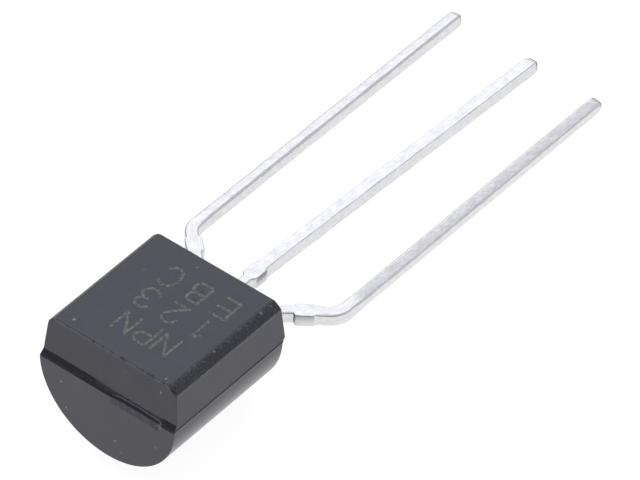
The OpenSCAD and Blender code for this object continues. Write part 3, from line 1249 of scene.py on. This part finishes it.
class CaseMoulding:
    """The moulded case: two drafted halves with a step at the parting line, and its mark."""

    COLUMNS = 130
    RINGS = 34
    END_RINGS = (0.02, 0.04, 0.06, 0.085, 0.115, 0.15, 0.2, 0.27)
    CORNER_STEPS = 8
    MARGIN = 8  # columns of the flat face between its corners and the marked window
    ROUND_STEPS = 46
    ARC_END, LEVEL_FROM, FINE_FROM = -0.345, -0.33, -0.09  # levels below the parting line
    LEVEL, FINE_LEVEL, FINE_TO = 0.012, 0.006, 0.171  # spacing of levels, and the last fine one
    SMALLEST_CORNER = 0.004
    SOFT_CORNER = {True: (0.006, 0.08), False: (0.02, 0.12)}  # depth and reach at each end
    STEP_BLUR, LEDGE_BLUR = 0.009, 0.004
    # Levels on the top end, and the share of the shift by which it stands out there.
    LEDGE_PLAIN = ([-0.05, 0.05, 0.15], [1, 0.62, 0])
    LEDGE_FORMED = ([-0.045, -0.02, 0.04, 0.082, 0.1], [1, 0.86, 0.62, 0.32, 0])
    # Levels of the torn patch below the ledge, and the share of its depth there.
    TEAR = ([-0.25, -0.235, 0.0, 0.02, 0.09], [0, 0.12, 1, 1, 0])
    TEAR_DEPTH = 0.06
    # Width of the wear on each edge, in millimetres.
    CREST_WEAR, KNEE_WEAR, TOP_WEAR, PARTING_WEAR = 0.14, 0.08, 0.08, 0.06
    MARK_ROWS = (("NPN", 1.1, -0.66, 0.66), ("123", 1.42, 0.40, 0.92), ("EBC", 1.42, 1.42, 0.92))
    LETTER = (0.47, 0.74)
    MARK_STEP = 0.05
    SLANT = math.sqrt(0.5)

    def __init__(self, form: CaseForm) -> None:
        """Works out the case's main lines.

        Args:
            form: The case's sizes.
        """
        self.form = form
        self.radius = form.width / 2
        self.end = form.height / 2
        self.step_top = 0.8 * form.shift
        self.step_low = -0.2 * form.shift
        self.lean = math.tan(math.radians(form.draft_flat))
        self.knee_z = form.rise - form.bevel
        self.knee_x = self.radius - self.knee_z * self.lean - form.side_step
        self.crest_x = self.knee_x - form.bevel
        self.crest_y = -(self.end - (form.rise - self.step_top) * self.lean)
        self.points: list[tuple[float, float, float]] = []
        self.faces: list[tuple[int, ...]] = []
        self.mark_runs: list[np.ndarray] = []
        for text, x, y, pitch in self.MARK_ROWS:
            self.mark_runs += Glyphs.strokes(text, x, y, *self.LETTER, pitch)

    # -- outline of the section

    def _half_outline(self, inset: float, face_corner: float) -> np.ndarray:
        """Returns one half of the section's outline, from the foot to the flat face.

        Args:
            inset: Distance inside the case's skin.
            face_corner: Radius between the bevel and the flat face.

        Returns:
            Points [x, z].
        """
        f, r, lean = self.form, self.radius, math.radians(self.form.draft_flat)
        levels = [
            *np.arange(self.LEVEL_FROM, self.FINE_FROM, self.LEVEL),
            *np.arange(self.FINE_FROM + self.FINE_LEVEL, -0.001, self.FINE_LEVEL),
        ]
        foot = np.linspace(-math.pi / 2, math.asin(self.ARC_END / r), self.ROUND_STEPS)
        turns = np.concatenate([foot, np.arcsin(np.array(levels) / r)])
        points = [np.array([math.cos(a), math.sin(a)]) * (r - inset) for a in turns]
        side, slope = np.array([math.cos(lean), math.sin(lean)]), np.array([self.SLANT, self.SLANT])

        def wall(z: float) -> np.ndarray:
            """Returns the flat half's side at a level."""
            return np.array([r - z * self.lean - f.side_step * min(z / f.step_height, 1), z])

        knee = wall(self.knee_z)
        crest = np.array([knee[0] - f.bevel, f.rise])
        points += [wall(z) - inset * side for z in np.arange(0, self.FINE_TO, self.FINE_LEVEL)]
        for corner, rounding, n0, n1, shares in (
            (knee, f.corner, side, slope, np.arange(1, 18) / 18),
            (crest, face_corner, slope, np.array([0.0, 1.0]), np.arange(1, 4) / 4),
        ):
            radius = max(rounding - inset, self.SMALLEST_CORNER)
            corner = corner - inset * (n0 + n1) / (1 + n0 @ n1)
            a0, a1 = math.atan2(n0[1], n0[0]), math.atan2(n1[1], n1[0])
            start = corner + radius * math.tan((a1 - a0) / 2) * np.array([n0[1], -n0[0]])
            before = 0.0
            for share in shares:
                left = (share - before) / (1 - before)
                points.append(points[-1] + (start - points[-1]) * left)
                before = share
            for a in np.linspace(a0, a1, 7):
                points.append(start + radius * (np.array([math.cos(a), math.sin(a)]) - n0))
        return np.array(points)

    def _outline(self, inset: float) -> np.ndarray:
        """Returns the whole outline, foot to foot by way of the right side and the flat face.

        Args:
            inset: Distance inside the case's skin.

        Returns:
            Points [x, z].
        """
        right = self._half_outline(inset, self.form.face_corner)
        left = right * [-1, 1]
        top_x = np.linspace(right[-1, 0], left[-1, 0], self.COLUMNS + 1)[1:-1]
        top = np.stack([top_x, np.full(len(top_x), right[-1, 1])], 1)
        return np.concatenate([right, top, left[::-1][:-1]])

    # -- ends of the case

    def _end(self, x: np.ndarray, z: np.ndarray, lead_end: bool) -> np.ndarray:
        """Returns Y of an end of the case.

        Args:
            x: X of the points.
            z: Z of the points.
            lead_end: True for the end that the leads leave, False for the top end.

        Returns:
            Y of the end's surface, with its step, torn flash and softened corners.
        """
        f = self.form
        flat = np.maximum(z - self.step_top, 0) * self.lean
        back = np.maximum(self.step_low - z, 0) * math.tan(math.radians(f.draft_round))
        inside = (self.knee_x - np.abs(x) + self.knee_z - z) * self.SLANT
        depth, reach = self.SOFT_CORNER[lead_end]
        soft = depth * np.clip(1 - inside / reach, 0, 1) ** 2
        if lead_end:
            blurs = np.linspace(-self.STEP_BLUR, self.STEP_BLUR, 5)
            fall = np.mean([ramp(z + blur, self.step_top, -f.shift) for blur in blurs], axis=0)
            return self.end - flat - fall * f.shift - back - soft
        return -(self.end - flat + self._ledge(x, z) * f.shift - back - soft - self._tear(x, z))

    def _ledge(self, x: np.ndarray, z: np.ndarray) -> np.ndarray:
        """Returns how far the round half stands out at the ledge, as a share of the shift.

        The ledge is a plain slope at its ends; between them the mould halves left a narrow
        shelf, a land and a steeper foot.

        Args:
            x: X of the points.
            z: Z of the points.

        Returns:
            The share, 1 below the ledge and 0 above it.
        """
        formed = ramp(x, -1.3, 1.6) * (1 - ramp(x, 1.72, 0.2))
        blurs = np.linspace(-self.LEDGE_BLUR, self.LEDGE_BLUR, 5)
        share = 0.0
        for blur in blurs:
            plain = np.interp(z + blur, *self.LEDGE_PLAIN)
            stepped = np.interp(z + blur, *self.LEDGE_FORMED)
            share = share + (plain + (stepped - plain) * formed) / len(blurs)
        return share

    def _tear(self, x: np.ndarray, z: np.ndarray) -> np.ndarray:
        """Returns the depth of the ragged patch below the ledge, where flash was torn off.

        Args:
            x: X of the points.
            z: Z of the points.

        Returns:
            The depth at each point.
        """
        ragged = np.array([
            noise.noise((v * 6, 2.3, 0)) + 0.6 * noise.noise((v * 19, 7.1, 0)) for v in x
        ])
        inside = ramp(x, 0.1, 0.3) * ramp(x, 1.84, -0.1)
        level = z + 0.03 * ragged - 0.02 * np.sin(2.1 * x)
        depth = np.interp(level, *self.TEAR)
        return self.TEAR_DEPTH * inside * np.clip(0.85 + 0.5 * ragged, 0.3, 1) * depth

    def _chip(self) -> None:
        """Dents the case's points where its sharp edges are chipped.

        Each chip is a middle, a direction, a radius and a depth as a share of the radius.
        """
        f, rng = self.form, np.random.default_rng(41)
        shares = (0.1, 0.25)
        chips = []
        for x in rng.uniform(-2.0, 1.9, 15):
            middle, way = (x, self.crest_y, f.rise), (0, -self.SLANT, self.SLANT)
            chips.append((middle, way, rng.uniform(0.04, 0.09), rng.uniform(*shares)))
        for y in rng.uniform(-2.1, 2.1, 24):
            middle, way = (self.crest_x - 0.01, y, f.rise - 0.02), (0.38, 0, 0.92)
            chips.append((middle, way, rng.uniform(0.03, 0.08), rng.uniform(*shares)))
        for y in rng.uniform(-2.1, 2.0, 7):
            middle, way = (self.knee_x, y, self.knee_z), (0.92, 0, 0.38)
            chips.append((middle, way, rng.uniform(0.03, 0.06), 0.3))
        corner = (self.crest_x + 0.06, self.crest_y, f.rise - 0.05)
        chips.append((corner, (0.5, -0.6, 0.6), 0.13, 0.35))
        spots = np.array(self.points)
        for middle, way, size, share in chips:
            near = np.linalg.norm(spots - np.array(middle), axis=1) / size
            dent = share * size * np.clip(1 - near**2, 0, 1) ** 2
            spots -= np.array(way) * dent[:, None]
        self.points = [tuple(v) for v in spots]

    # -- skin

    def build_shell(self) -> Object:
        """Builds the closed outer skin of the case.

        Returns:
            The skin's object, in case axes.
        """
        rows = len(self._half_outline(0.0, self.form.corner))
        around = 2 * rows + self.COLUMNS - 2
        high_ring, low_ring = (self._cap(lead_end, rows) for lead_end in (True, False))
        low, high = (np.array([self.points[i] for i in ring]) for ring in (low_ring, high_ring))
        near = np.array(self.END_RINGS) / self.form.height
        middle = np.linspace(near[-1], 1 - near[-1], self.RINGS)[1:-1]
        stations = [low_ring]
        for share in (*near, *middle, *(1 - near[::-1])):
            stations.append(self._add(*(low + (high - low) * share).T))
        stations.append(high_ring)
        self._chip()
        wall = np.array(stations)
        first, last = rows + self.MARGIN - 1, rows + self.COLUMNS - self.MARGIN - 1
        top, foot = len(near), len(wall) - len(near) - 1
        for k in range(len(wall) - 1):
            for m in range(around):
                if top <= k < foot and first <= m < last:
                    continue
                n = (m + 1) % around
                self.faces.append((wall[k, m], wall[k, n], wall[k + 1, n], wall[k + 1, m]))
        return self._mark(wall[top : foot + 1, first : last + 1])

    def _cap(self, lead_end: bool, rows: int) -> np.ndarray:
        """Adds the face of one end and its rounded edge.

        Args:
            lead_end: True for the end that the leads leave, False for the top end.
            rows: Points of half an outline.

        Returns:
            Point numbers of the edge's outermost ring.
        """
        columns = self.COLUMNS
        around = 2 * rows + columns - 2
        edge = self.form.lead_edge if lead_end else self.form.edge
        rings = []
        for turn in np.arange(self.CORNER_STEPS + 1) / self.CORNER_STEPS * math.pi / 2:
            spot = self._outline(edge * (1 - math.cos(turn)))
            drop = edge * (1 - math.sin(turn))
            y = self._end(spot[:, 0], spot[:, 1], lead_end)
            rings.append(self._add(spot[:, 0], y - drop if lead_end else y + drop, spot[:, 1]))
        grid = np.zeros((rows, columns + 1), int)
        for row in range(rows):
            right, left = row, (around - row) % around
            grid[row, 0], grid[row, -1] = rings[-1][right], rings[-1][left]
            if row == 0:
                grid[row, :] = rings[-1][right]
            elif row == rows - 1:
                grid[row, 1:-1] = rings[-1][rows : rows + columns - 1]
            else:
                x, z = np.linspace(spot[right], spot[left], columns + 1)[1:-1].T
                grid[row, 1:-1] = self._add(x, self._end(x, z, lead_end), z)
        bands = [(a, a[1:], b, b[1:]) for a, b in zip(grid, grid[1:])]
        bands += [(a, np.roll(a, -1), b, np.roll(b, -1)) for a, b in zip(rings, rings[1:])]
        for band in bands:
            for a, next_a, b, next_b in zip(*band):
                corners = [a, next_a, next_b, b]
                face = tuple(dict.fromkeys(corners[::-1] if lead_end else corners))
                if len(face) > 2:
                    self.faces.append(face)
        return rings[0]

    def _add(self, x: np.ndarray, y: np.ndarray, z: np.ndarray) -> np.ndarray:
        """Adds points to the case.

        Args:
            x: Their X.
            y: Their Y.
            z: Their Z.

        Returns:
            Their numbers.
        """
        start = len(self.points)
        self.points.extend(zip(x.tolist(), y.tolist(), z.tolist()))
        return np.arange(start, len(self.points))

    # -- mark

    def _mark(self, window: np.ndarray) -> Object:
        """Fills the window in the flat face with the engraved mark and makes the case's object.

        Args:
            window: Point numbers of the flat face's grid, of which only the border is in use.

        Returns:
            The case's closed skin.
        """
        border = [*window[0, :], *window[1:, -1], *window[-1, :-1][::-1], *window[1:-1, 0][::-1]]
        flat = [Vector(self.points[i][:2]) for i in border]
        edges = [(i, (i + 1) % len(flat)) for i in range(len(flat))]
        for run in self.mark_runs:
            dense = [run[0]]
            for a, b in zip(run, run[1:]):
                count = max(1, round(float(np.linalg.norm(b - a)) / self.MARK_STEP))
                dense += [a + (b - a) * (i + 1) / count for i in range(count)]
            spine = np.array(dense)
            way = np.gradient(spine, axis=0)
            way /= np.linalg.norm(way, axis=1, keepdims=True)
            tip = way * self.form.mark_width / 2
            side = np.stack([-tip[:, 1], tip[:, 0]], 1)
            ring = [*(spine + side), spine[-1] + tip[-1], *(spine - side)[::-1], spine[0] - tip[0]]
            start = len(flat)
            flat += [Vector(p) for p in ring]
            edges += [(start + i, start + (i + 1) % len(ring)) for i in range(len(ring))]
            start = len(flat)
            flat += [Vector(p) for p in spine]
            edges += [(start + i, start + i + 1) for i in range(len(spine) - 1)]
        made = geometry.delaunay_2d_cdt(flat, edges, [], 0, 1e-5)
        spots = np.array([tuple(v) for v in made[0]])
        depth = self.form.mark_depth * np.clip(1 - self._from_mark(spots), 0, 1)
        numbers = [border[o[0]] if o and o[0] < len(border) else -1 for o in made[3]]
        for index, (x, y) in enumerate(spots):
            if numbers[index] < 0:
                numbers[index] = len(self.points)
                self.points.append((x, y, self.form.rise - float(depth[index])))
        outer = np.array([self.points[i][:2] for i in border])
        low, high = outer.min(0), outer.max(0)
        for face in made[2]:
            middle = spots[list(face)].mean(0)
            if (middle > low).all() and (middle < high).all():
                self.faces.append(tuple(numbers[i] for i in face))
        return mesh_object("moulded_case", self.points, self.faces)

    def _from_mark(self, spots: np.ndarray) -> np.ndarray:
        """Returns how far points of the flat face are from the mark's middle lines.

        Args:
            spots: Points [x, y].

        Returns:
            Distance of each point as a share of the mark's half width, which ends at 1.
        """
        near = np.full(len(spots), np.inf)
        for run in self.mark_runs:
            for a, b in zip(run, run[1:]):
                span = b - a
                share = np.clip(((spots - a) @ span) / max(float(span @ span), 1e-9), 0, 1)
                near = np.minimum(near, np.linalg.norm(spots - a - share[:, None] * span, axis=1))
        return near / (self.form.mark_width / 2)

    # -- finishing

    def build(self, cutters: Iterable[Object]) -> Object:
        """Makes the case's piece.

        Args:
            cutters: Objects in case axes whose pockets are cut into the case.

        Returns:
            The piece, in the frame.
        """
        thing = self.build_shell()
        close_mesh(thing.data)
        for cutter in cutters:
            cut = thing.modifiers.new("pocket", "BOOLEAN")
            cut.operation, cut.solver, cut.object = "DIFFERENCE", "MANIFOLD", cutter
        bake_modifiers(thing)
        self._paint(thing.data)
        thing.data.transform(AXES.matrix())
        shade(thing.data)
        settle(thing, "epoxy", "body")
        return thing

    def _paint(self, mesh: Mesh) -> None:
        """Gives marked faces the mark's finish, edges their wear, and the ledge its painted highlight
        and torn flash.

        Args:
            mesh: The case's mesh in case axes.
        """
        places = []
        for items, key in ((mesh.vertices, "co"), (mesh.polygons, "center")):
            flat = np.empty(len(items) * 3, np.float32)
            items.foreach_get(key, flat)
            places.append(flat.reshape(-1, 3))
        spots, middles = places
        mesh.materials.clear()
        for finish in (EPOXY, MARK):
            mesh.materials.append(finish.material())
        burnt = self._from_mark(middles[:, :2].astype(float)) < 0.98
        burnt &= middles[:, 2] > self.form.rise - 0.02
        mesh.polygons.foreach_set("material_index", burnt.astype(np.int32))
        # "torn" holds a painted highlight along the ledge's land, and torn resin at the ledge's corner.
        for name, values in (("wear", self._wear(*spots.T)), ("torn", self._ledge_highlight_and_tear(*spots.T))):
            data = mesh.attributes.new(name, "FLOAT", "POINT").data
            data.foreach_set("value", np.clip(values, 0, 1).astype(np.float32))

    def _wear(self, x: np.ndarray, y: np.ndarray, z: np.ndarray) -> np.ndarray:
        """Returns how rubbed points of the case are.

        Args:
            x: X of the points.
            y: Y of the points.
            z: Z of the points.

        Returns:
            Their wear; 1 is the most.
        """
        f = self.form
        crest = np.hypot(x - self.crest_x, z - f.rise)
        knee = np.hypot(x - self.crest_x - f.bevel, z - f.rise + f.bevel)
        top_edge = np.hypot(y - self.crest_y, z - f.rise)
        parting = np.hypot(x - self.radius, z)
        on_bevel = z > self.knee_z - 0.01
        wear = np.clip(1.25 - crest / self.CREST_WEAR, 0, 1)
        wear += 0.4 * ramp(knee, self.KNEE_WEAR, -self.KNEE_WEAR)
        wear = np.maximum(wear, 0.45 * (x > self.crest_x - 0.02) * on_bevel)
        wear += 0.8 * ramp(-x, self.crest_x + 0.02, 0.05) * on_bevel
        wear += 0.6 * ramp(top_edge, self.TOP_WEAR, -self.TOP_WEAR)
        return wear + 0.6 * ramp(parting, self.PARTING_WEAR, -self.PARTING_WEAR)

    def _ledge_highlight_and_tear(self, x: np.ndarray, y: np.ndarray, z: np.ndarray) -> np.ndarray:
        """Returns where the top end is painted paler: a painted highlight on the ledge's land, torn
        resin at its corner.

        Args:
            x: X of the points.
            y: Y of the points.
            z: Z of the points.

        Returns:
            How pale they are painted; 1 is the most.
        """
        # The land's paleness is a painted highlight where its slope catches the light.
        land = np.clip(1 - np.abs(z - 0.058) / 0.022, 0, 1) * ramp(x, -1.3, 0.8) * ramp(x, 1.8, -0.1)
        corner = np.clip(1.3 - np.hypot((x - 1.77) / 1.6, z + 0.13) / 0.05, 0, 1)
        return np.maximum(0.34 * land, 0.55 * corner) * (y < -2)


def close_mesh(mesh: Mesh) -> None:
    """Merges doubled points and turns a closed mesh's faces outwards.

    Args:
        mesh: The mesh.
    """
    shape = bmesh.new()
    shape.from_mesh(mesh)
    bmesh.ops.remove_doubles(shape, verts=shape.verts, dist=1e-5)
    bmesh.ops.recalc_face_normals(shape, faces=shape.faces)
    loose = sum(1 for edge in shape.edges if len(edge.link_faces) != 2)
    if loose:
        LOG.warning("%s has %d open edges", mesh.name, loose)
    shape.to_mesh(mesh)
    shape.free()


# ---------------------------------------------------------------- chip


class BondedChip:
    """The chip on its adhesive and its two gold wires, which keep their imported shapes."""

    def dress(self) -> None:
        """Gives each inner piece its finish."""
        for name, finish in INNER.items():
            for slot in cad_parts[name].material_slots:
                slot.material = finish.material()
            LOG.info("%s: %s", name, finish.name)

    def pockets(self) -> list[Object]:
        """Copies the inner pieces, to cut their pockets.

        Returns:
            The copies, in case axes.
        """
        made = []
        for name in INNER:
            copy = bpy.data.objects.new(f"pocket_{name}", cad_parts[name].data.copy())
            bpy.context.scene.collection.objects.link(copy)
            copy.data.transform(AXES.matrix().inverted())
            close_mesh(copy.data)
            made.append(copy)
        return made


# ---------------------------------------------------------------- studio


@dataclass(frozen=True)
class SoftPatch:
    """A soft patch of light in the room, as a window or a screened light gives; degrees."""

    azimuth: float
    elevation: float
    inner: float  # radius of its even middle
    outer: float  # radius at which it has faded
    radiance: float
    colour: str = "#ffffff"

    def glow(self, tree: Tree, way: Socket, under: Socket) -> Socket:
        """Adds the patch's light to the room's.

        Args:
            tree: The world's node tree.
            way: Direction from the part.
            under: Light of the room so far.

        Returns:
            The light with the patch added.
        """
        a, e = math.radians(self.azimuth), math.radians(self.elevation)
        aim = (math.sin(a) * math.cos(e), -math.cos(a) * math.cos(e), math.sin(e))
        far, full = (math.cos(math.radians(v)) for v in (self.outer, self.inner))
        near = add_node(
            tree, "ShaderNodeVectorMath", {0: way, 1: aim}, operation="DOT_PRODUCT"
        ).outputs["Value"]
        share = add_node(
            tree, "ShaderNodeMapRange", {"Value": near, "From Min": far, "From Max": full},
            interpolation_type="SMOOTHSTEP",
        ).outputs[0]
        tint = [v * self.radiance for v in linear(self.colour)[:3]]
        light = add_node(
            tree, "ShaderNodeVectorMath", {0: tint, "Scale": share}, operation="SCALE"
        ).outputs[0]
        return add_node(
            tree, "ShaderNodeVectorMath", {0: under, 1: light}, operation="ADD"
        ).outputs[0]


@dataclass(frozen=True)
class Studio:
    """White sweep, a plain room with soft patches of light, and the camera; metres."""

    patches: tuple[SoftPatch, ...] = (
        SoftPatch(215, 34, 9, 26, 0.9, "#f8faff"),
        SoftPatch(133, 22, 8, 42, 0.25),
        SoftPatch(190, 50, 25, 85, 0.18),
        SoftPatch(225, 6, 10, 40, 0.16),
    )
    # Light of the room by how high one looks, from the horizon, 0, to straight up, 1.
    room: tuple[tuple[float, float], ...] = (
        (0.0, 0.18), (0.2, 0.2), (0.42, 0.36), (0.7, 0.39), (1.0, 0.75)
    )
    room_blue: float = 1.03
    floor_rings: tuple[float, ...] = (0.02, 0.1, 0.3, 0.42)  # radii of its flat part
    rim: float = 0.09
    rim_height: float = 0.03
    turns: int = 64
    floor_gap: float = 2e-6  # between the part's lowest point and the floor
    paper_light: float = 0.92
    paper_shadow: str = "#858585"
    paper: str = "#eeeeee"
    sensor_mm: float = 36.0
    lens_mm: float = 383.863
    clip: tuple[float, float] = (0.005, 3.0)
    camera_place: tuple[float, float, float] = (0.08088999, -0.08833931, 0.14083679)
    camera_turn: tuple[float, float, float] = (40.45784, 3.30325, 38.67693)

    def build(self) -> None:
        """Builds all of the studio."""
        self._floor().data.materials.append(self._paper())
        self._world()
        self._camera()
        bpy.context.scene.view_settings.view_transform = "Standard"

    def _floor(self) -> Object:
        """Adds the floor, which curves up far from the part.

        Returns:
            The floor.
        """
        profile = [(radius, 0.0) for radius in self.floor_rings]
        for share in np.linspace(0.15, 1, 8):
            profile.append((self.floor_rings[-1] + self.rim * share, self.rim_height * share**2))
        level, turns = CAD_BOX[0][2] - self.floor_gap, self.turns
        points = [(0.0, 0.0, level)]
        for radius, height in profile:
            for a in np.arange(turns) * 2 * math.pi / turns:
                points.append((radius * math.cos(a), radius * math.sin(a), height + level))
        faces = [(0, 1 + i, 1 + (i + 1) % turns) for i in range(turns)]
        for ring in range(len(profile) - 1):
            for i in range(turns):
                a, b = 1 + ring * turns + i, 1 + ring * turns + (i + 1) % turns
                faces.append((a, a + turns, b + turns, b))
        floor = mesh_object("floor", points, faces)
        floor.data.polygons.foreach_set("use_smooth", [True] * len(faces))
        return floor

    def _paper(self) -> Material:
        """Makes the floor's paper, an even white where it is seen that keeps the part's shadow.

        Returns:
            The paper's material.
        """
        paper = bpy.data.materials.new("white_studio_paper")
        paper.use_nodes = True
        tree = paper.node_tree
        tree.nodes.clear()
        rays = add_node(tree, "ShaderNodeLightPath").outputs
        seen = rays["Is Camera Ray"]
        for ray in ("Is Glossy Ray", "Is Transmission Ray"):
            seen = add_node(
                tree, "ShaderNodeMath", {0: seen, 1: rays[ray]}, operation="MAXIMUM"
            ).outputs[0]
        white = add_node(
            tree, "ShaderNodeEmission", {"Color": linear("#ffffff"), "Strength": self.paper_light}
        ).outputs[0]
        shadowed, bounce = (
            add_node(tree, "ShaderNodeBsdfDiffuse", {"Color": linear(colour)}).outputs[0]
            for colour in (self.paper_shadow, self.paper)
        )
        shown = add_node(tree, "ShaderNodeAddShader", {0: white, 1: shadowed}).outputs[0]
        mixed = add_node(tree, "ShaderNodeMixShader", {0: seen, 1: bounce, 2: shown}).outputs[0]
        add_node(tree, "ShaderNodeOutputMaterial", {"Surface": mixed})
        return paper

    def _world(self) -> None:
        """Sets the room, dim near the horizon and pale overhead, with its patches of light."""
        world = bpy.data.worlds.new("studio_room")
        world.use_nodes = True
        tree = world.node_tree
        tree.nodes.clear()
        way = add_node(tree, "ShaderNodeTexCoord").outputs["Generated"]
        height = add_node(tree, "ShaderNodeSeparateXYZ", {0: way}).outputs[2]
        room = add_node(tree, "ShaderNodeValToRGB", {0: height})
        stops = room.color_ramp.elements
        while len(stops) < len(self.room):
            stops.new(0.5)
        for stop, (at, level) in zip(stops, self.room):
            stop.position = at
            stop.color = (level, level, level * self.room_blue, 1)
        light = room.outputs[0]
        for patch in self.patches:
            light = patch.glow(tree, way, light)
        glow = add_node(tree, "ShaderNodeBackground", {"Color": light, "Strength": 1.0}).outputs[0]
        add_node(tree, "ShaderNodeOutputWorld", {"Surface": glow})
        bpy.context.scene.world = world

    def _camera(self) -> None:
        """Adds the long-lens camera."""
        data = bpy.data.cameras.new("camera")
        data.sensor_width, data.lens = self.sensor_mm, self.lens_mm
        data.clip_start, data.clip_end = self.clip
        camera = bpy.data.objects.new("camera", data)
        camera.location = self.camera_place
        camera.rotation_euler = [math.radians(v) for v in self.camera_turn]
        bpy.context.scene.collection.objects.link(camera)
        bpy.context.scene.camera = camera


# ---------------------------------------------------------------- the part


LEAD_FORMS = (
    LeadForm(Lead.EMITTER, pitch=2.71, kink=54, lean=0.5, twist=10, seed=3),
    LeadForm(
        Lead.BASE, pitch=0.0, kink=0, lean=2.4, twist=-4, seed=5,
        shoulder=0.12, worn_edge=0.022, torn=0.1,
    ),
    LeadForm(Lead.COLLECTOR, pitch=2.41, kink=49, lean=0.5, twist=-7, seed=8, worn_edge=0.08),
)


def main() -> None:
    """Builds the part's pieces in order, then the studio."""
    logging.basicConfig(level=logging.INFO, format="%(name)s: %(message)s")
    sweeper = SweepTree()
    leads = [FormedLead(form) for form in LEAD_FORMS]
    chip = BondedChip()
    cutters = [lead.pocket(sweeper) for lead in leads] + chip.pockets()
    CaseMoulding(CaseForm()).build(cutters)
    for cutter in cutters:
        bpy.data.objects.remove(cutter)
    for lead in leads:
        lead.build(sweeper)
    chip.dress()
    Studio().build()


if __name__ == "__main__":
    main()
